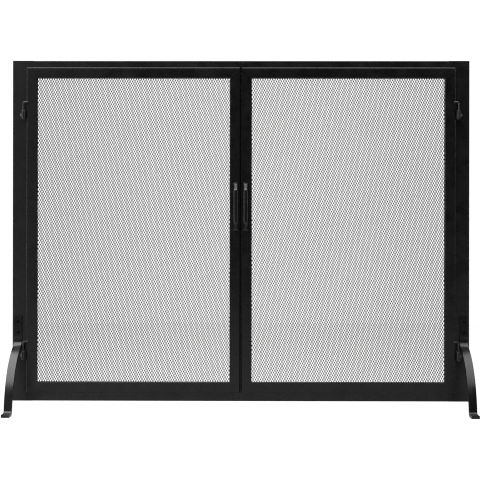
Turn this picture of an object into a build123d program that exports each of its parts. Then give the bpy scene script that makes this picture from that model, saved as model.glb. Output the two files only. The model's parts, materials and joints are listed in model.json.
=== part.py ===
"""Free-standing flat fireplace screen with two hinged mesh doors. Millimetres, +Z up, front towards -Y."""

import math
import os

from build123d import *

# Surround: a flat frame of rectangular steel tube
frame_width = 1118.0
frame_bottom = 18.6
frame_top = 851.6
frame_depth = 12.7
stile_width = 50.8
rail_width = 31.75
frame_wall = 1.5
frame_edge = 1.5
cap_thickness = 3.0

# Doors: mitred tube frames that lie over the front of the surround
door_gap = 0.5
door_inner_x = 1.0
door_outer_x = 523.5
door_bottom = 40.3
door_top = 833.9
door_member = 26.0
door_depth = 10.0
door_wall = 1.2
door_edge = 2.0

# Diamond mesh: two crossed layers of flat strands with a plain border
strand_angle = 60.0
strand_pitch = 5.18
strand_width = 1.15
layer_thickness = 0.8
paint_gap = 0.1
mesh_lap = 9.0
mesh_border = 7.5
left_mesh_turn = -1.4
right_mesh_turn = 1.7
smallest_slot = 12.0

# Retaining strips that clamp the mesh border to the back of each door
strip_width = 9.0
strip_thickness = 2.0
strip_inset = 0.5

# Stop bar behind the meeting edges
stop_width = 24.0
stop_thickness = 3.0

# Lift-off pin hinges
hinge_x = 531.0
hinge_forward = 12.5
pin_radius = 2.4
pin_bend = 2.9
pin_lap = 4.0
pin_arm_heights = {"upper": 749.0, "lower": 164.2}
knuckle_heights = {"upper": 718.65, "lower": 129.95}
knuckle_height = 21.3
knuckle_radius = 4.7
knuckle_floor = 3.0
knuckle_inner_x = 524.7
knuckle_shoulder_x = 533.0
knuckle_tip_x = 541.4
knuckle_plate = 6.5
knuckle_tip_depth = 2.5
knuckle_rim = 0.8
knuckle_web = 8.8
join_overlap = 1.0
bore_clearance = 0.1

# Legs: flat bar, a bolted tab, a long arc and a turned-out toe
leg_x = 545.0
leg_width = 19.0
leg_thickness = 6.35
leg_top = 226.5
leg_reach = 159.0
arc_centre_forward = -51.0
arc_centre_height = -13.5
arc_radius = 176.8
tab_bend = 24.0
toe_bend = 11.5
bolt_heights = (188.1, 213.5)

# Leg fasteners
bolt_radius = 2.0
bolt_hole_radius = 2.2
bolt_head_radius = 3.8
bolt_head_height = 2.2
bolt_head_round = 1.5
bolt_socket = 1.25
bolt_socket_depth = 1.1
washer_radius = 4.5
washer_thickness = 0.8
nut_radius = 4.04
nut_height = 3.2
bolt_tail = 1.5

# Pull handles: bent oval bar with a flattened foot at each end
handle_x = 12.2
handle_width = 10.0
handle_thickness = 4.0
handle_standoff = 15.0
handle_low = 434.9
handle_high = 553.0
handle_foot = 4.0
handle_slope = 15.0
handle_bend = 6.0
handle_flat = 0.4

front_face = -frame_depth / 2
door_back = front_face - door_gap
door_front = door_back - door_depth
hinge_y = front_face - hinge_forward
half_width = frame_width / 2
stile_inner_x = half_width - stile_width


def upright_tube(width, depth, length, wall, edge):
    """Rectangular tube along Z, centred on the origin."""
    profile = RectangleRounded(width, depth, edge) - Rectangle(width - 2 * wall, depth - 2 * wall)
    return extrude(profile, length / 2, both=True)


def lying_tube(width, depth, length, wall, edge):
    """Rectangular tube along X, centred on the origin, with its width upright."""
    return Rot(0, 90, 0) * upright_tube(width, depth, length, wall, edge)


def box_between(x_range, y_range, z_range):
    """Solid box between three pairs of limits."""
    sizes = [high - low for low, high in (x_range, y_range, z_range)]
    middles = [(high + low) / 2 for low, high in (x_range, y_range, z_range)]
    return Pos(*middles) * Box(*sizes)


def upright_plate(outline, y_low, y_high):
    """Plate with an outline of (x, z) points, between two depths."""
    face = make_face(Polyline(*[(x, y_low, z) for x, z in outline], close=True))
    return extrude(face, y_high - y_low, dir=(0, 1, 0))


def rod_along_y(x, z, radius, y_low, y_high):
    """Cylinder along Y."""
    middle = Pos(x, (y_low + y_high) / 2, z)
    return middle * Rot(90, 0, 0) * Cylinder(radius, y_high - y_low)


def stile():
    """Left upright of the surround, with the two leg bolt holes through it."""
    centre_x = -(half_width - stile_width / 2)
    middle_z = (frame_bottom + frame_top) / 2
    tube = upright_tube(stile_width, frame_depth, frame_top - frame_bottom, frame_wall, frame_edge)
    part = Pos(centre_x, 0, middle_z) * tube
    for z in bolt_heights:
        part -= rod_along_y(-leg_x, z, bolt_hole_radius, -frame_depth, frame_depth)
    return part


def rail(z_low, z_high):
    """Cross tube of the surround, between the stiles."""
    tube = lying_tube(z_high - z_low, frame_depth, 2 * stile_inner_x, frame_wall, frame_edge)
    return Pos(0, 0, (z_low + z_high) / 2) * tube


def end_caps():
    """Plugs that close both ends of both stiles."""
    caps = []
    width = stile_width - 2 * frame_wall
    depth = frame_depth - 2 * frame_wall
    for side in (-1, 1):
        for z in (frame_bottom + cap_thickness / 2, frame_top - cap_thickness / 2):
            place = Pos(side * (half_width - stile_width / 2), 0, z)
            caps.append(place * Box(width, depth, cap_thickness))
    return caps


def stop_bar():
    """Flat bar between the rails, behind the meeting edges of the doors."""
    return box_between(
        (-stop_width / 2, stop_width / 2),
        (front_face, front_face + stop_thickness),
        (frame_bottom + rail_width, frame_top - rail_width),
    )


def knuckle(level):
    """Left hinge knuckle: a blind barrel on a pointed mounting plate."""
    middle = knuckle_heights[level]
    low = middle - knuckle_height / 2
    high = middle + knuckle_height / 2
    outline = [
        (-knuckle_inner_x, low),
        (-knuckle_inner_x, high),
        (-knuckle_shoulder_x, high),
        (-knuckle_tip_x, middle),
        (-knuckle_shoulder_x, low),
    ]
    plate_front = front_face - knuckle_plate
    web_x = (-hinge_x - knuckle_web / 2, -hinge_x + knuckle_web / 2)
    web = box_between(web_x, (hinge_y, plate_front + join_overlap), (low, high))
    web = web & upright_plate(outline, hinge_y, front_face)
    barrel = Pos(-hinge_x, hinge_y, middle) * Cylinder(knuckle_radius, knuckle_height)
    barrel = chamfer(barrel.faces().sort_by(Axis.Z)[-1].edges(), knuckle_rim)
    bore_height = knuckle_height - knuckle_floor
    bore_place = Pos(-hinge_x, hinge_y, high - bore_height / 2)
    bore = bore_place * Cylinder(pin_radius + bore_clearance, bore_height)
    wedge_plan = [
        (-knuckle_inner_x, front_face),
        (-knuckle_inner_x, plate_front),
        (-knuckle_shoulder_x, plate_front),
        (-knuckle_tip_x, front_face - knuckle_tip_depth),
        (-knuckle_tip_x, front_face),
    ]
    wedge_face = make_face(Polyline(*[(x, y, low) for x, y in wedge_plan], close=True))
    wedge = extrude(wedge_face, knuckle_height, dir=(0, 0, 1))
    plate = wedge & upright_plate(outline, plate_front, front_face)
    return plate + web + barrel - bore


def hinge_pin(level):
    """Left hinge pin: a short arm on the face of the door, turned down into the knuckle."""
    arm_z = pin_arm_heights[level]
    foot_z = knuckle_heights[level] - knuckle_height / 2 + knuckle_floor + bore_clearance
    end_x = -door_outer_x + pin_lap
    path = FilletPolyline((end_x, arm_z), (-hinge_x, arm_z), (-hinge_x, foot_z), radius=pin_bend)
    plane = Plane(origin=(0, hinge_y, 0), x_dir=(1, 0, 0), z_dir=(0, -1, 0))
    rod_path = plane * path
    section = Plane(origin=(end_x, hinge_y, arm_z), z_dir=(-1, 0, 0)) * Circle(pin_radius)
    rod = sweep(section, path=rod_path)
    seat = box_between(
        (-door_outer_x, -door_outer_x + 2 * pin_lap),
        (door_front, door_back),
        (arm_z - 2 * pin_radius, arm_z + 2 * pin_radius),
    )
    return rod - seat


def leg_profile():
    """Side outline of a leg, as (forward, height) with forward measured from the frame's face."""
    half = leg_thickness / 2
    tab_x = half + tab_bend
    tab_rise = math.sqrt((arc_radius + tab_bend) ** 2 - (tab_x - arc_centre_forward) ** 2)
    tab_z = arc_centre_height + tab_rise
    toe_z = half + toe_bend
    toe_run = math.sqrt((arc_radius + toe_bend) ** 2 - (toe_z - arc_centre_height) ** 2)
    toe_x = arc_centre_forward + toe_run
    tab_share = arc_radius / (arc_radius + tab_bend)
    toe_share = arc_radius / (arc_radius + toe_bend)
    arc_start = (
        arc_centre_forward + tab_share * (tab_x - arc_centre_forward),
        arc_centre_height + tab_share * (tab_z - arc_centre_height),
    )
    arc_end = (
        arc_centre_forward + toe_share * (toe_x - arc_centre_forward),
        arc_centre_height + toe_share * (toe_z - arc_centre_height),
    )
    straight = Line((half, leg_top), (half, tab_z))
    first_bend = RadiusArc((half, tab_z), arc_start, -tab_bend)
    main_arc = RadiusArc(arc_start, arc_end, arc_radius)
    second_bend = RadiusArc(arc_end, (toe_x, half), -toe_bend)
    toe = Line((toe_x, half), (leg_reach, half))
    return trace([straight, first_bend, main_arc, second_bend, toe], leg_thickness)


def front_leg():
    """Front left leg, with its two bolt holes."""
    side_plane = Plane(
        origin=(-leg_x - leg_width / 2, front_face, 0), x_dir=(0, -1, 0), z_dir=(-1, 0, 0)
    )
    leg = extrude(side_plane * leg_profile(), leg_width, dir=(1, 0, 0))
    for z in bolt_heights:
        leg -= rod_along_y(-leg_x, z, bolt_hole_radius, front_face - 2 * leg_thickness, 0)
    return leg


def leg_bolts():
    """Through bolts that hold a front and a rear leg on each stile."""
    head_y = front_face - leg_thickness
    tail_y = -head_y + washer_thickness + nut_height + bolt_tail
    bolts = []
    for x in (-leg_x, leg_x):
        for z in bolt_heights:
            shank = rod_along_y(x, z, bolt_radius, head_y, tail_y)
            head = rod_along_y(x, z, bolt_head_radius, head_y - bolt_head_height, head_y)
            rim = head.edges().sort_by(Axis.Y)[0]
            head = fillet(rim, bolt_head_round)
            socket_place = Pos(x, head_y - bolt_head_height, z) * Rot(90, 0, 0)
            socket = socket_place * extrude(RegularPolygon(bolt_socket, 6), bolt_socket_depth, both=True)
            bolts.append(head + shank - socket)
    return bolts


def leg_washers():
    """Flat washers under the nuts."""
    face_y = frame_depth / 2 + leg_thickness
    washers = []
    for x in (-leg_x, leg_x):
        for z in bolt_heights:
            disc = rod_along_y(x, z, washer_radius, face_y, face_y + washer_thickness)
            washers.append(disc - rod_along_y(x, z, bolt_hole_radius, 0, 2 * face_y))
    return washers


def leg_nuts():
    """Hexagon nuts behind the rear legs."""
    low_y = frame_depth / 2 + leg_thickness + washer_thickness
    nuts = []
    for x in (-leg_x, leg_x):
        for z in bolt_heights:
            middle = Pos(x, low_y + nut_height / 2, z) * Rot(90, 0, 0)
            nut = middle * extrude(RegularPolygon(nut_radius, 6), nut_height / 2, both=True)
            nuts.append(nut - rod_along_y(x, z, bolt_radius, 0, 2 * low_y))
    return nuts


def door_frame():
    """The four mitred members of the left door, by name."""
    x_low = -door_outer_x
    x_high = -door_inner_x
    middle_x = (x_low + x_high) / 2
    middle_y = (door_back + door_front) / 2
    middle_z = (door_bottom + door_top) / 2
    width = door_member
    tall = door_top - door_bottom
    wide = x_high - x_low
    upright = upright_tube(width, door_depth, tall, door_wall, door_edge)
    lying = lying_tube(width, door_depth, wide, door_wall, door_edge)
    inner = {
        "x": (x_low + width, x_high - width),
        "z": (door_bottom + width, door_top - width),
    }
    outlines = {
        "hinge_stile": [
            (x_low, door_bottom),
            (inner["x"][0], inner["z"][0]),
            (inner["x"][0], inner["z"][1]),
            (x_low, door_top),
        ],
        "meeting_stile": [
            (x_high, door_bottom),
            (inner["x"][1], inner["z"][0]),
            (inner["x"][1], inner["z"][1]),
            (x_high, door_top),
        ],
        "top_rail": [
            (x_low, door_top),
            (inner["x"][0], inner["z"][1]),
            (inner["x"][1], inner["z"][1]),
            (x_high, door_top),
        ],
        "bottom_rail": [
            (x_low, door_bottom),
            (inner["x"][0], inner["z"][0]),
            (inner["x"][1], inner["z"][0]),
            (x_high, door_bottom),
        ],
    }
    places = {
        "hinge_stile": Pos(x_low + width / 2, middle_y, middle_z) * upright,
        "meeting_stile": Pos(x_high - width / 2, middle_y, middle_z) * upright,
        "top_rail": Pos(middle_x, middle_y, door_top - width / 2) * lying,
        "bottom_rail": Pos(middle_x, middle_y, door_bottom + width / 2) * lying,
    }
    cutter_y = (door_front - join_overlap, door_back + join_overlap)
    return {name: places[name] & upright_plate(outlines[name], *cutter_y) for name in places}


def clip(points, axis, limit, keep_above):
    """Part of a polygon on one side of a line of constant x (axis 0) or z (axis 1)."""
    sign = 1 if keep_above else -1
    kept = []
    for here, after in zip(points, points[1:] + points[:1]):
        here_side = sign * (here[axis] - limit)
        after_side = sign * (after[axis] - limit)
        if here_side >= 0:
            kept.append(here)
        if here_side * after_side < 0:
            share = here_side / (here_side - after_side)
            kept.append(tuple(a + share * (b - a) for a, b in zip(here, after)))
    return kept


def polygon_area(points):
    """Area of a simple polygon."""
    pairs = zip(points, points[1:] + points[:1])
    return abs(sum(a[0] * b[1] - b[0] * a[1] for a, b in pairs)) / 2


def slots(x_range, z_range, angle):
    """Outlines of the slots between parallel strands inside a rectangle."""
    centre = ((x_range[0] + x_range[1]) / 2, (z_range[0] + z_range[1]) / 2)
    reach = math.hypot(x_range[1] - x_range[0], z_range[1] - z_range[0])
    along = (math.cos(math.radians(angle)), math.sin(math.radians(angle)))
    across = (-along[1], along[0])
    half_slot = (strand_pitch - strand_width) / 2
    count = int(reach / strand_pitch / 2) + 1
    outlines = []
    for index in range(-count, count):
        offset = (index + 0.5) * strand_pitch
        corners = []
        for side, end in ((-1, -1), (1, -1), (1, 1), (-1, 1)):
            distance = offset + side * half_slot
            x = centre[0] + distance * across[0] + end * reach * along[0]
            z = centre[1] + distance * across[1] + end * reach * along[1]
            corners.append((x, z))
        corners = clip(corners, 0, x_range[0], True)
        corners = clip(corners, 0, x_range[1], False)
        corners = clip(corners, 1, z_range[0], True)
        corners = clip(corners, 1, z_range[1], False)
        if len(corners) > 2 and polygon_area(corners) > smallest_slot:
            outlines.append(corners)
    return outlines


def mesh_layer(side, angle, y_low):
    """One layer of parallel flat strands inside a plain border, for the left or right door."""
    lap = mesh_lap
    edges_x = (door_inner_x + door_member - lap, door_outer_x - door_member + lap)
    x_range = tuple(sorted(side * x for x in edges_x))
    z_range = (door_bottom + door_member - lap, door_top - door_member + lap)
    slot_x = (x_range[0] + mesh_border, x_range[1] - mesh_border)
    slot_z = (z_range[0] + mesh_border, z_range[1] - mesh_border)
    corners = [
        (x_range[0], z_range[0]),
        (x_range[1], z_range[0]),
        (x_range[1], z_range[1]),
        (x_range[0], z_range[1]),
    ]
    outer = Wire.make_polygon([(x, y_low, z) for x, z in corners], close=True)
    inner = []
    for outline in slots(slot_x, slot_z, angle):
        inner.append(Wire.make_polygon([(x, y_low, z) for x, z in outline], close=True))
    return extrude(Face(outer, inner), layer_thickness, dir=(0, 1, 0))


def retaining_strips():
    """Flat strips behind the mesh border of the left door, by name."""
    inner_x = (-door_outer_x + door_member - strip_inset, -door_inner_x - door_member + strip_inset)
    inner_z = (door_bottom + door_member - strip_inset, door_top - door_member + strip_inset)
    outer_x = (inner_x[0] - strip_width, inner_x[1] + strip_width)
    outer_z = (inner_z[0] - strip_width, inner_z[1] + strip_width)
    y_low = door_back + 2 * layer_thickness + 3 * paint_gap
    y_range = (y_low, y_low + strip_thickness)
    return {
        "hinge_strip": box_between((outer_x[0], inner_x[0]), y_range, outer_z),
        "meeting_strip": box_between((inner_x[1], outer_x[1]), y_range, outer_z),
        "top_strip": box_between(inner_x, y_range, (inner_z[1], outer_z[1])),
        "bottom_strip": box_between(inner_x, y_range, (outer_z[0], inner_z[0])),
    }


def handle():
    """Pull handle of the left door."""
    foot = handle_thickness / 2 - handle_flat
    grip = handle_standoff + handle_thickness / 2
    path = FilletPolyline(
        (foot, handle_high),
        (foot, handle_high - handle_foot),
        (grip, handle_high - handle_foot - handle_slope),
        (grip, handle_low + handle_foot + handle_slope),
        (foot, handle_low + handle_foot),
        (foot, handle_low),
        radius=handle_bend,
    )
    side_plane = Plane(origin=(-handle_x, door_front, 0), x_dir=(0, -1, 0), z_dir=(-1, 0, 0))
    start = (-handle_x, door_front - foot, handle_high)
    section_plane = Plane(origin=start, x_dir=(1, 0, 0), z_dir=(0, 0, -1))
    section = section_plane * Ellipse(handle_width / 2, handle_thickness / 2)
    bar = sweep(section, path=side_plane * path)
    behind = box_between(
        (-handle_x - handle_width, -handle_x + handle_width),
        (door_front, door_back),
        (handle_low - join_overlap, handle_high + join_overlap),
    )
    return bar - behind


def save(name, shape):
    """Writes one node."""
    export_step(shape, f"parts/{name}.step")


def mirrored(shape):
    """The same shape on the other side of the screen."""
    return mirror(shape, about=Plane.YZ)


os.makedirs("parts", exist_ok=True)

left_stile = stile()
save("left_stile", left_stile)
save("right_stile", mirrored(left_stile))
save("surround_top_rail", rail(frame_top - rail_width, frame_top))
save("surround_bottom_rail", rail(frame_bottom, frame_bottom + rail_width))
save("stile_end_caps", Compound(children=end_caps()))
save("door_stop_bar", stop_bar())

for level in ("upper", "lower"):
    left_knuckle = knuckle(level)
    save(f"left_{level}_knuckle", left_knuckle)
    save(f"right_{level}_knuckle", mirrored(left_knuckle))
    left_pin = hinge_pin(level)
    save(f"left_{level}_hinge_pin", left_pin)
    save(f"right_{level}_hinge_pin", mirrored(left_pin))

left_front_leg = front_leg()
left_rear_leg = mirror(left_front_leg, about=Plane.XZ)
save("left_front_leg", left_front_leg)
save("right_front_leg", mirrored(left_front_leg))
save("left_rear_leg", left_rear_leg)
save("right_rear_leg", mirrored(left_rear_leg))
save("leg_bolts", Compound(children=leg_bolts()))
save("leg_washers", Compound(children=leg_washers()))
save("leg_nuts", Compound(children=leg_nuts()))

left_handle = handle()
save("left_handle", left_handle)
save("right_handle", mirrored(left_handle))

for name, shape in {**door_frame(), **retaining_strips()}.items():
    save(f"left_{name}", shape)
    save(f"right_{name}", mirrored(shape))

for name, side, turn in (("left", -1, left_mesh_turn), ("right", 1, right_mesh_turn)):
    front_y = door_back + paint_gap
    rear_y = front_y + layer_thickness + paint_gap
    save(f"{name}_mesh_front", mesh_layer(side, strand_angle + turn, front_y))
    save(f"{name}_mesh_rear", mesh_layer(side, -strand_angle + turn, rear_y))
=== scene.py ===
"""Fireplace screen: materials, diamond mesh, weld beads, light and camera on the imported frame. Metres."""

import json
import math

import bpy
import numpy as np
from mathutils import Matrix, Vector


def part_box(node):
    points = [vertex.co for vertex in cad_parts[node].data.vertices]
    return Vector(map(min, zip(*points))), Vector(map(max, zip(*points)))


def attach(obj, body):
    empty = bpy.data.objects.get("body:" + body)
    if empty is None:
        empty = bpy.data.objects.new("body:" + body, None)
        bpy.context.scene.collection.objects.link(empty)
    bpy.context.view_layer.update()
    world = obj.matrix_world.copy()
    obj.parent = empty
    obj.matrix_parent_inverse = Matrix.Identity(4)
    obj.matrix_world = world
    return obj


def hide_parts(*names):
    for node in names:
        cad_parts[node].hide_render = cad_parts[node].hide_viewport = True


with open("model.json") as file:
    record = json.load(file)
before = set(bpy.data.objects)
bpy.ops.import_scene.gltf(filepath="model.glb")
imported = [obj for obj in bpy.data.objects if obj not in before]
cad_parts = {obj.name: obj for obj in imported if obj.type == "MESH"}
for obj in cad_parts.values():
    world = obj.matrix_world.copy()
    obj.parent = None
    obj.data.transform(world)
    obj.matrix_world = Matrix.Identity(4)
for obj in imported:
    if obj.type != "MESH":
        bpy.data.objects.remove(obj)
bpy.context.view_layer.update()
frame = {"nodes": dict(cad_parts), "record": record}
record = frame["record"]
nodes = frame["nodes"]
scene = bpy.context.scene

# Diamond mesh. Angles are in degrees, and the bond shift is a share of the strand's width.
DIAMOND_WIDE = 0.00598
DIAMOND_TALL = 0.0104
STRAND = 0.00116
STRAND_DEEP = 0.0011
STRAND_SLOPE = 60
BOND_SHIFT = 0.35
RIBBON_STEP = 0.0002
MESH_TURN = {"left": -1.4, "right": 1.7}
MESH_GRIP = 0.006

# Weld beads. The ring step is a share of the radius. Each ripple has a height as a share of the radius,
# a pace per ring and a lead per bead, in radians.
BEAD_SIDES = 10
BEAD_RING_STEP = 0.35
BEAD_FEWEST_RINGS = 6
BEAD_END_POWER = 6
BEAD_END_SPREAD = 0.08
BEAD_RIPPLES = ((0.12, 2.1, 1), (0.05, 0.7, 2))

PIN_RADIUS = 0.0024
PIN_BEAD_LENGTH = 0.0032
PIN_BEAD_LIFT = 0.0021
PIN_BEAD_RADIUS = 0.0009
PIN_BEAD_PROUD = 0.0004

KNUCKLE_BEAD_INSET = 0.0010
KNUCKLE_BEAD_LENGTH = 0.0075
KNUCKLE_BEAD_RADIUS = 0.0009
KNUCKLE_BEAD_PROUD = 0.0003

HANDLE_BEAD_NEAR = 0.0008
HANDLE_BEAD_FAR = 0.0048
HANDLE_BEAD_RADIUS = 0.0008
HANDLE_BEAD_PROUD = 0.0004

TACK_HALF_LENGTH = 0.006
TACK_RADIUS = 0.0012
TACK_PROUD = 0.0011
TACKS_UPRIGHT = 6
TACKS_LEVEL = 4

# Patterns in the coats: scale and detail of the noise, and the part of its range that counts
CLOUDS = (9.0, 6.0, 0.35, 0.65)
SPECKS = (1400.0, 2.0, 0.66, 0.74)
SMEARS = (34.0, 7.0, 0.3, 0.7)
RUBBED_PATCHES = (60.0, 5.0, 0.45, 0.68)
GRAIN_DETAIL = 3.0
GRAIN_DEPTH = 0.0002
CLOUD_SHADE = 0.72
SPECK_SHADE = 2.2
SMEAR_SMOOTHER = 0.06
SMEAR_ROUGHER = 0.07

# Rubbed edges: how far the bevelled normal has turned, as a cosine, where the rubbing starts and is full
RUB_START = 0.98
RUB_FULL = 0.80
BEVEL_SAMPLES = 6

# Painted shade: places where a coat's specular level is lowered to darken the gap where the doors meet and
# the legs' bolted tab. Distances from the middle of the screen, and heights above the floor
SEAM_SHADE_WITHIN = 0.002
SEAM_FULL_BEYOND = 0.0045
SEAM_SHARE = 0.1
TAB_BOTTOM = 0.174
TAB_BLEND = 0.006
TAB_SHARE = 0.5

# Floor and world. The camera sees both nearly white.
FLOOR_REACH = 6.0
FLOOR_BACK = 3.0
FLOOR_GREY = 0.42
FLOOR_CLOUD = 0.97
FLOOR_CLOUD_SCALE = 2.0
FLOOR_CLOUD_DETAIL = 3.0
FLOOR_SHOWN = 0.97
FLOOR_FAINT = 0.08
SKY_SHOWN = 1.05
SKY_LIT = 0.0

# Lights: place, aim, width, height and power
SOFTBOXES = {
    "overhead": ((-0.5, -0.6, 2.25), (-0.5, -0.6, 0.0), 3.0, 2.8, 140),
    "left_strip": ((-2.6, -1.0, 0.9), (0.0, 0.0, 0.45), 0.5, 1.7, 28),
    "right_strip": ((2.6, -1.0, 0.9), (0.0, 0.0, 0.45), 0.5, 1.7, 12),
    "left_card": ((-1.8, -3.2, 1.0), (0.0, 0.0, 0.6), 2.0, 1.8, 4.2),
    "right_card": ((2.2, -3.2, 1.0), (0.0, 0.0, 0.6), 1.8, 1.8, 1.6),
}

# Camera, from the frame's front face and the floor. Angles are in degrees, lens and sensor in mm.
CAMERA_BACK = 2.905
CAMERA_HEIGHT = 0.4131
CAMERA_SIDE = 0.0195
CAMERA_TURN = 0.418
CAMERA_ROLL = -0.08
CAMERA_LENS = 89.0
CAMERA_SENSOR = 36
CAMERA_NEAR = 0.05
CAMERA_FAR = 60
PIXEL_FILTER = 1.1


# ---------------------------------------------------------------- shader pieces


def add(tree, kind, x, y, **values):
    """A shader node with its properties and plain input values set."""
    node = tree.nodes.new(kind)
    node.location = (x, y)
    for key, value in values.items():
        if hasattr(node, key):
            setattr(node, key, value)
        else:
            node.inputs[key.replace("_", " ")].default_value = value
    return node


def noise(tree, source, x, y, scale, detail, stretch=None):
    """Noise on the object's own coordinates, stretched along an axis if asked."""
    vector = source
    if stretch:
        mapping = add(tree, "ShaderNodeMapping", x - 200, y)
        mapping.inputs["Scale"].default_value = stretch
        tree.links.new(source, mapping.inputs["Vector"])
        vector = mapping.outputs["Vector"]
    node = add(tree, "ShaderNodeTexNoise", x, y, Scale=scale, Detail=detail)
    tree.links.new(vector, node.inputs["Vector"])
    return node.outputs["Fac"]


def ramp(tree, value, x, y, low, high, dark, light):
    """Map a value between two limits to a range."""
    node = add(tree, "ShaderNodeMapRange", x, y)
    node.inputs["From Min"].default_value = low
    node.inputs["From Max"].default_value = high
    node.inputs["To Min"].default_value = dark
    node.inputs["To Max"].default_value = light
    tree.links.new(value, node.inputs["Value"])
    return node.outputs["Result"]


def pattern(tree, source, x, y, kind, dark=0.0, light=1.0, stretch=None):
    """Noise of one of the named patterns, mapped to a range."""
    scale, detail, low, high = kind
    return ramp(tree, noise(tree, source, x, y, scale, detail, stretch), x + 200, y, low, high, dark, light)


def mix(tree, share, first, second, x, y):
    """Mix two colours, each given as a value or as a socket."""
    node = add(tree, "ShaderNodeMix", x, y, data_type="RGBA")
    for socket, value in ((node.inputs[6], first), (node.inputs[7], second)):
        if isinstance(value, bpy.types.NodeSocket):
            tree.links.new(value, socket)
        else:
            socket.default_value = (*value, 1)
    tree.links.new(share, node.inputs[0])
    return node.outputs[2]


def blank_tree(block):
    """The empty node tree of a material or a world."""
    block.use_nodes = True
    block.node_tree.nodes.clear()
    return block.node_tree


# ---------------------------------------------------------------- coats


def seam_painted_shade(tree, place, sheen):
    """Specular level of the doors: far lower beside the middle of the screen, where the doors meet, as
    painted shade in the gap between them.
    """
    split = add(tree, "ShaderNodeSeparateXYZ", 0, 600)
    tree.links.new(place, split.inputs[0])
    off_centre = add(tree, "ShaderNodeMath", 200, 600, operation="ABSOLUTE")
    tree.links.new(split.outputs["X"], off_centre.inputs[0])
    distance = off_centre.outputs["Value"]
    return ramp(tree, distance, 400, 600, SEAM_SHADE_WITHIN, SEAM_FULL_BEYOND, SEAM_SHARE * sheen, sheen)


def tab_painted_shade(tree, place, sheen):
    """Specular level of the legs: lower on the bolted tab, as painted shade that darkens the tab."""
    split = add(tree, "ShaderNodeSeparateXYZ", 200, 600)
    tree.links.new(place, split.inputs[0])
    height = split.outputs["Z"]
    return ramp(tree, height, 400, 600, TAB_BOTTOM, TAB_BOTTOM + TAB_BLEND, sheen, TAB_SHARE * sheen)


def rubbed_edges(tree, place, bevel):
    """Share of bare steel: patches along the edges, found where the bevelled normal turns away."""
    geometry = add(tree, "ShaderNodeNewGeometry", -500, -700)
    product = add(tree, "ShaderNodeVectorMath", -300, -600, operation="DOT_PRODUCT")
    tree.links.new(bevel, product.inputs[0])
    tree.links.new(geometry.outputs["Normal"], product.inputs[1])
    rim = ramp(tree, product.outputs["Value"], -100, -600, RUB_START, RUB_FULL, 0.0, 1.0)
    patchy = pattern(tree, place, -300, -850, RUBBED_PATCHES)
    wear = add(tree, "ShaderNodeMath", 100, -700, operation="MULTIPLY")
    tree.links.new(rim, wear.inputs[0])
    tree.links.new(patchy, wear.inputs[1])
    return wear.outputs["Value"]


def coat(name, colour, worn, rough, grain_scale, grain, edge, stretch=None, sheen=0.5, painted_shade_mask=None):
    """Black coating over steel: cloudy colour, dust, varied gloss, fine grain and rubbed edges.

    The last argument, if given, makes the nodes that lower the specular level in one place, as painted
    shade.
    """
    material = bpy.data.materials.new(name)
    tree = blank_tree(material)
    output = add(tree, "ShaderNodeOutputMaterial", 900, 0)
    shader = add(tree, "ShaderNodeBsdfPrincipled", 600, 0, Metallic=0.0, IOR=1.5)
    shader.inputs["Specular IOR Level"].default_value = sheen
    place = add(tree, "ShaderNodeTexCoord", -1100, 0).outputs["Object"]
    # Painted shade: the specular level is lowered in one place to darken it.
    if painted_shade_mask:
        tree.links.new(painted_shade_mask(tree, place, sheen), shader.inputs["Specular IOR Level"])
    tree.links.new(shader.outputs["BSDF"], output.inputs["Surface"])

    bevel = add(tree, "ShaderNodeBevel", -500, -500, samples=BEVEL_SAMPLES, Radius=edge).outputs["Normal"]
    wear = rubbed_edges(tree, place, bevel)
    clouds = pattern(tree, place, -500, 300, CLOUDS, stretch=stretch)
    specks = pattern(tree, place, -500, 100, SPECKS)
    base = mix(tree, clouds, [CLOUD_SHADE * c for c in colour], colour, 0, 300)
    dusty = mix(tree, specks, base, [SPECK_SHADE * c for c in colour], 180, 300)
    tree.links.new(mix(tree, wear, dusty, worn, 360, 300), shader.inputs["Base Color"])

    smoothest, roughest = rough - SMEAR_SMOOTHER, rough + SMEAR_ROUGHER
    gloss = pattern(tree, place, -500, -100, SMEARS, smoothest, roughest, stretch)
    tree.links.new(gloss, shader.inputs["Roughness"])

    peel = noise(tree, place, -300, -300, grain_scale, GRAIN_DETAIL, stretch)
    bump = add(tree, "ShaderNodeBump", 200, -400, Strength=grain, Distance=GRAIN_DEPTH)
    tree.links.new(peel, bump.inputs["Height"])
    tree.links.new(bevel, bump.inputs["Normal"])
    tree.links.new(bump.outputs["Normal"], shader.inputs["Normal"])
    return material


STEEL = (0.11, 0.105, 0.10)
BRIGHT_STEEL = (0.20, 0.19, 0.18)
ALONG_BAR = (1.0, 0.12, 0.12)
ALONG_GRIP = (1.0, 1.0, 0.15)

# Each coat: name, colour, colour where rubbed, roughness, scale and strength of the grain, edge radius
COATS = {
    "surround_coat": ("surround_black", (0.005, 0.005, 0.0053), STEEL, 0.28, 900, 0.30, 0.0006),
    "door_coat": ("door_black", (0.004, 0.004, 0.0043), STEEL, 0.27, 900, 0.24, 0.00015),
    "strip_coat": ("strip_black", (0.018, 0.018, 0.019), STEEL, 0.50, 800, 0.35, 0.0004),
    "cap_coat": ("cap_black", (0.017, 0.017, 0.018), STEEL, 0.48, 700, 0.25, 0.0003),
    "leg_coat": ("leg_black", (0.004, 0.004, 0.0042), STEEL, 0.24, 420, 0.45, 0.0005),
    "handle_coat": ("handle_black", (0.005, 0.005, 0.0053), STEEL, 0.27, 600, 0.35, 0.0005),
    "knuckle_coat": ("knuckle_black", (0.007, 0.007, 0.0073), STEEL, 0.34, 500, 0.50, 0.0005),
    "pin_coat": ("pin_black", (0.012, 0.012, 0.0125), BRIGHT_STEEL, 0.30, 500, 0.30, 0.0003),
    "fastener_coat": ("fastener_black", (0.002, 0.002, 0.0021), STEEL, 0.36, 900, 0.20, 0.0003),
    "mesh_coat": ("mesh_black", (0.010, 0.010, 0.0105), STEEL, 0.52, 700, 0.25, 0.0002),
}
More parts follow.
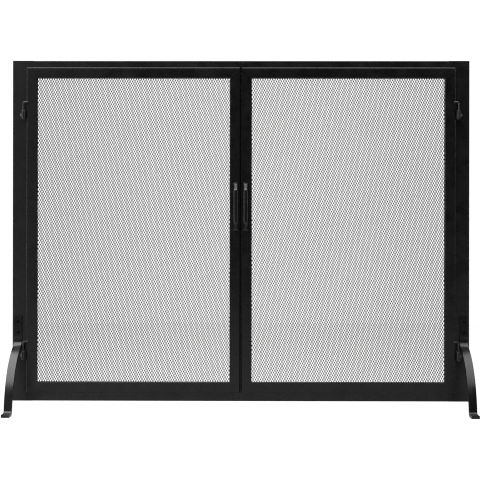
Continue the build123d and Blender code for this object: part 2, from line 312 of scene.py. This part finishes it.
COAT_EXTRAS = {
    "surround_coat": {"sheen": 0.46},
    # Painted shade: the doors' specular level is lowered in the gap where they meet.
    "door_coat": {"sheen": 0.41, "painted_shade_mask": seam_painted_shade},
    # Painted shade: the legs' specular level is lowered on the bolted tab.
    "leg_coat": {"stretch": ALONG_BAR, "painted_shade_mask": tab_painted_shade},
    "handle_coat": {"stretch": ALONG_GRIP},
    "fastener_coat": {"sheen": 0.08},
}
coats = {}
for slot_name, settings in COATS.items():
    coats[slot_name] = coat(*settings, **COAT_EXTRAS.get(slot_name, {}))

slot_of = {part["node"]: part["material_slot"] for part in record["subparts"]}
for name, node in nodes.items():
    for holder in node.material_slots:
        holder.material = coats[slot_of[name]]


# ---------------------------------------------------------------- diamond mesh


def piece(name, points, faces, body, slot_name, smooth=False):
    """A mesh object that rides on a body and takes one of the coats."""
    mesh = bpy.data.meshes.new(name)
    mesh.from_pydata(points, [], faces)
    mesh.update()
    mesh.materials.append(coats[slot_name])
    if smooth:
        mesh.shade_smooth()
    made = bpy.data.objects.new(name, mesh)
    scene.collection.objects.link(made)
    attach(made, body)
    return made


def square_corners(px, py, pz, turn):
    """The four corners of a strand's section around each point of the zigzags."""
    half_wide = STRAND / 2 / math.sin(math.radians(STRAND_SLOPE))
    corners = []
    for across, deep in ((-1, -1), (1, -1), (1, 1), (-1, 1)):
        step = across * half_wide
        x = px + step * math.cos(turn)
        y = py + deep * STRAND_DEEP / 2
        z = pz + step * math.sin(turn)
        corners.append(np.stack([x, y, z], axis=-1))
    return np.stack(corners, axis=2)


def strand_faces(inside):
    """Faces of the strands that run along each row of kept points, with a cap where a run starts or ends."""
    number = np.cumsum(inside.ravel()).reshape(inside.shape) - 1
    joined = inside[:, :-1] & inside[:, 1:]
    first = number[:, :-1][joined][:, None] * 4
    second = number[:, 1:][joined][:, None] * 4
    faces = []
    for a, b in ((0, 1), (1, 2), (2, 3), (3, 0)):
        faces.append(np.concatenate([first + a, first + b, second + b, second + a], axis=1))
    before = np.pad(joined, ((0, 0), (1, 0)))
    after = np.pad(joined, ((0, 0), (0, 1)))
    starts = number[inside & after & ~before][:, None] * 4
    ends = number[inside & before & ~after][:, None] * 4
    faces.append(starts + np.array([[3, 2, 1, 0]]))
    faces.append(ends + np.array([[0, 1, 2, 3]]))
    return np.concatenate(faces)


def diamond_mesh(side):
    """One sheet of expanded steel: upright zigzag strands, joined side by side at each bond."""
    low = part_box(f"{side}_hinge_stile" if side == "left" else f"{side}_meeting_stile")[1]
    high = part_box(f"{side}_meeting_stile" if side == "left" else f"{side}_hinge_stile")[0]
    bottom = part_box(f"{side}_bottom_rail")[1].z
    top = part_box(f"{side}_top_rail")[0].z
    middle_x = (low.x + high.x) / 2
    middle_z = (bottom + top) / 2
    half_x = (high.x - low.x) / 2 + MESH_GRIP
    half_z = (top - bottom) / 2 + MESH_GRIP
    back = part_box(f"{side}_mesh_rear")[1].y
    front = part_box(f"{side}_mesh_front")[0].y
    middle_y = (front + back) / 2

    turn = math.radians(MESH_TURN[side])
    reach = math.hypot(half_x, half_z)
    ribbons = int(reach / DIAMOND_WIDE * 2) + 2
    rows = int(reach / DIAMOND_TALL * 2) + 2
    ribbon, row = np.meshgrid(np.arange(-ribbons, ribbons), np.arange(-rows, rows), indexing="ij")
    leans_right = (ribbon + row) % 2
    shift = BOND_SHIFT * STRAND * (1 - 2 * leans_right)
    x = (ribbon + leans_right) * DIAMOND_WIDE / 2 + shift
    z = row * DIAMOND_TALL / 2
    px = middle_x + x * math.cos(turn) - z * math.sin(turn)
    py = middle_y + (ribbon % 2 - 0.5) * RIBBON_STEP
    pz = middle_z + x * math.sin(turn) + z * math.cos(turn)
    inside = (np.abs(px - middle_x) < half_x) & (np.abs(pz - middle_z) < half_z)

    points = square_corners(px, py, pz, turn)[inside].reshape(-1, 3)
    used, faces = np.unique(strand_faces(inside), return_inverse=True)
    faces = faces.reshape(-1, 4)
    made = piece(f"{side}_diamond_mesh", points[used].tolist(), faces.tolist(), f"{side}_door", "mesh_coat")
    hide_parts(f"{side}_mesh_front", f"{side}_mesh_rear")
    return made


# ---------------------------------------------------------------- weld beads


def bead(start, end, radius, seed):
    """Points and faces of a rippled weld bead between two points."""
    start, end = Vector(start), Vector(end)
    along = end - start
    axis = along.normalized()
    side = axis.orthogonal().normalized()
    other = axis.cross(side)
    rings = max(BEAD_FEWEST_RINGS, int(along.length / (radius * BEAD_RING_STEP)))
    points, faces = [], []
    for index in range(rings + 1):
        share = index / rings
        taper = math.sqrt(max(0.0, 1 - (2 * share - 1) ** BEAD_END_POWER))
        ripple = 1
        for height, pace, lead in BEAD_RIPPLES:
            ripple += height * math.sin(index * pace + lead * seed)
        spread = radius * max(BEAD_END_SPREAD, taper) * ripple
        for turn in range(BEAD_SIDES):
            angle = 2 * math.pi * turn / BEAD_SIDES
            offset = side * math.cos(angle) + other * math.sin(angle)
            points.append(tuple(start + along * share + offset * spread))
    for index in range(rings):
        here = index * BEAD_SIDES
        there = here + BEAD_SIDES
        for turn in range(BEAD_SIDES):
            after = (turn + 1) % BEAD_SIDES
            faces.append((here + turn, here + after, there + after, there + turn))
    faces.append(tuple(reversed(range(BEAD_SIDES))))
    faces.append(tuple(rings * BEAD_SIDES + turn for turn in range(BEAD_SIDES)))
    return points, faces


def beads(name, runs, radius, body, slot_name):
    """Several weld beads as one piece."""
    points, faces = [], []
    for seed, (start, end) in enumerate(runs):
        more_points, more_faces = bead(start, end, radius, seed)
        faces += [tuple(i + len(points) for i in face) for face in more_faces]
        points += more_points
    return piece(name, points, faces, body, slot_name, smooth=True)


def hinge_welds(side):
    """Beads above and below each hinge pin's arm on the face of the door."""
    runs = []
    face_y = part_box(f"{side}_hinge_stile")[0].y
    bead_y = face_y - PIN_BEAD_PROUD
    for level in ("upper", "lower"):
        low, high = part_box(f"{side}_{level}_hinge_pin")
        arm_z = high.z - PIN_RADIUS
        inner_x = high.x if side == "left" else low.x
        outer_x = inner_x - PIN_BEAD_LENGTH if side == "left" else inner_x + PIN_BEAD_LENGTH
        for lift in (-1, 1):
            z = arm_z + lift * PIN_BEAD_LIFT
            runs.append(((outer_x, bead_y, z), (inner_x, bead_y, z)))
    return beads(f"{side}_hinge_pin_welds", runs, PIN_BEAD_RADIUS, f"{side}_door", "door_coat")


def knuckle_welds():
    """Beads along the top and bottom edges of the knuckle plates."""
    runs = []
    face_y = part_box("left_stile")[0].y
    bead_y = face_y - KNUCKLE_BEAD_PROUD
    for side, sign in (("left", -1), ("right", 1)):
        for level in ("upper", "lower"):
            low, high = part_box(f"{side}_{level}_knuckle")
            inner = min(abs(low.x), abs(high.x)) + KNUCKLE_BEAD_INSET
            outer = inner + KNUCKLE_BEAD_LENGTH
            for z in (low.z, high.z):
                runs.append(((sign * inner, bead_y, z), (sign * outer, bead_y, z)))
    return beads("knuckle_welds", runs, KNUCKLE_BEAD_RADIUS, "surround", "surround_coat")


def handle_welds(side):
    """Beads down both sides of each handle foot."""
    low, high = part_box(f"{side}_handle")
    bead_y = high.y - HANDLE_BEAD_PROUD
    upper = (high.z - HANDLE_BEAD_NEAR, high.z - HANDLE_BEAD_FAR)
    lower = (low.z + HANDLE_BEAD_FAR, low.z + HANDLE_BEAD_NEAR)
    runs = []
    for x in (low.x, high.x):
        for start, end in (upper, lower):
            runs.append(((x, bead_y, start), (x, bead_y, end)))
    return beads(f"{side}_handle_welds", runs, HANDLE_BEAD_RADIUS, f"{side}_door", "door_coat")


def evenly(start, end, count):
    """Middles of equal shares of a length."""
    return [start + (index + 0.5) * (end - start) / count for index in range(count)]


def strip_welds(side):
    """Tack welds between the retaining strips and the back of the door's frame."""
    runs = []
    back_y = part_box(f"{side}_hinge_stile")[1].y
    tack_y = back_y + TACK_PROUD
    for strip in ("hinge_strip", "meeting_strip"):
        low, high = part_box(f"{side}_{strip}")
        toward_hinge = strip == "hinge_strip"
        outer_x = low.x if (side == "left") == toward_hinge else high.x
        for z in evenly(low.z, high.z, TACKS_UPRIGHT):
            runs.append(((outer_x, tack_y, z - TACK_HALF_LENGTH), (outer_x, tack_y, z + TACK_HALF_LENGTH)))
    for strip in ("top_strip", "bottom_strip"):
        low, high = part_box(f"{side}_{strip}")
        outer_z = high.z if strip == "top_strip" else low.z
        for x in evenly(low.x, high.x, TACKS_LEVEL):
            runs.append(((x - TACK_HALF_LENGTH, tack_y, outer_z), (x + TACK_HALF_LENGTH, tack_y, outer_z)))
    return beads(f"{side}_strip_welds", runs, TACK_RADIUS, f"{side}_door", "strip_coat")


for side in ("left", "right"):
    diamond_mesh(side)
    hinge_welds(side)
    handle_welds(side)
    strip_welds(side)
knuckle_welds()


# ---------------------------------------------------------------- studio


def split_by_ray(tree, x, y, others, camera_sees):
    """A shader that differs between camera rays and all other rays."""
    path = add(tree, "ShaderNodeLightPath", x - 400, y + 250)
    choose = add(tree, "ShaderNodeMixShader", x, y)
    tree.links.new(path.outputs["Is Camera Ray"], choose.inputs["Fac"])
    tree.links.new(others, choose.inputs[1])
    tree.links.new(camera_sees, choose.inputs[2])
    return choose.outputs["Shader"]


def pale_floor(name):
    """Matt grey to the light that bounces off it, and nearly white to the camera."""
    material = bpy.data.materials.new(name)
    tree = blank_tree(material)
    place = add(tree, "ShaderNodeTexCoord", -1000, 0).outputs["Object"]
    cloud = noise(tree, place, -700, 0, FLOOR_CLOUD_SCALE, FLOOR_CLOUD_DETAIL)
    grey = [FLOOR_GREY] * 3
    tint = mix(tree, cloud, grey, [FLOOR_CLOUD * c for c in grey], -450, 0)
    matt = add(tree, "ShaderNodeBsdfDiffuse", -150, 0)
    tree.links.new(tint, matt.inputs["Color"])
    faint = add(tree, "ShaderNodeBsdfDiffuse", -150, -150, Color=(*[FLOOR_FAINT] * 3, 1))
    glow = add(tree, "ShaderNodeEmission", -150, -300, Strength=FLOOR_SHOWN)
    lift = add(tree, "ShaderNodeAddShader", 50, -200)
    tree.links.new(faint.outputs["BSDF"], lift.inputs[0])
    tree.links.new(glow.outputs["Emission"], lift.inputs[1])
    output = add(tree, "ShaderNodeOutputMaterial", 450, 0)
    shown = split_by_ray(tree, 250, 0, matt.outputs["BSDF"], lift.outputs["Shader"])
    tree.links.new(shown, output.inputs["Surface"])
    return material


def floor():
    """Pale floor under and behind the screen."""
    mesh = bpy.data.meshes.new("floor")
    front = [(-FLOOR_REACH, -FLOOR_REACH, 0), (FLOOR_REACH, -FLOOR_REACH, 0)]
    back = [(FLOOR_REACH, FLOOR_BACK, 0), (-FLOOR_REACH, FLOOR_BACK, 0)]
    mesh.from_pydata(front + back, [], [(0, 1, 2, 3)])
    mesh.materials.append(pale_floor("floor_white"))
    made = bpy.data.objects.new("floor", mesh)
    scene.collection.objects.link(made)


def sky():
    """World that is white to the camera and gives no light."""
    world = bpy.data.worlds.new("studio")
    tree = blank_tree(world)
    dark = add(tree, "ShaderNodeBackground", -200, 0, Color=(1, 1, 1, 1), Strength=SKY_LIT)
    white = add(tree, "ShaderNodeBackground", -200, -150, Color=(1, 1, 1, 1), Strength=SKY_SHOWN)
    output = add(tree, "ShaderNodeOutputWorld", 250, 0)
    shown = split_by_ray(tree, 50, 0, dark.outputs["Background"], white.outputs["Background"])
    tree.links.new(shown, output.inputs["Surface"])
    scene.world = world


def softbox(name, place, target, wide, tall, power):
    """Rectangular area light aimed at a point."""
    light = bpy.data.lights.new(name, "AREA")
    light.shape = "RECTANGLE"
    light.size = wide
    light.size_y = tall
    light.energy = power
    made = bpy.data.objects.new(name, light)
    made.location = place
    made.rotation_euler = (Vector(target) - Vector(place)).to_track_quat("-Z", "Y").to_euler()
    scene.collection.objects.link(made)


floor()
sky()
for name, settings in SOFTBOXES.items():
    softbox(name, *settings)

front_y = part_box("left_stile")[0].y
camera = bpy.data.objects.new("camera", bpy.data.cameras.new("camera"))
camera.data.lens = CAMERA_LENS
camera.data.sensor_width = CAMERA_SENSOR
camera.data.clip_start = CAMERA_NEAR
camera.data.clip_end = CAMERA_FAR
camera.location = (CAMERA_SIDE, front_y - CAMERA_BACK, CAMERA_HEIGHT)
camera.rotation_euler = (math.pi / 2, math.radians(CAMERA_ROLL), math.radians(CAMERA_TURN))
scene.collection.objects.link(camera)
scene.camera = camera
scene.view_settings.view_transform = "Standard"
scene.cycles.filter_width = PIXEL_FILTER
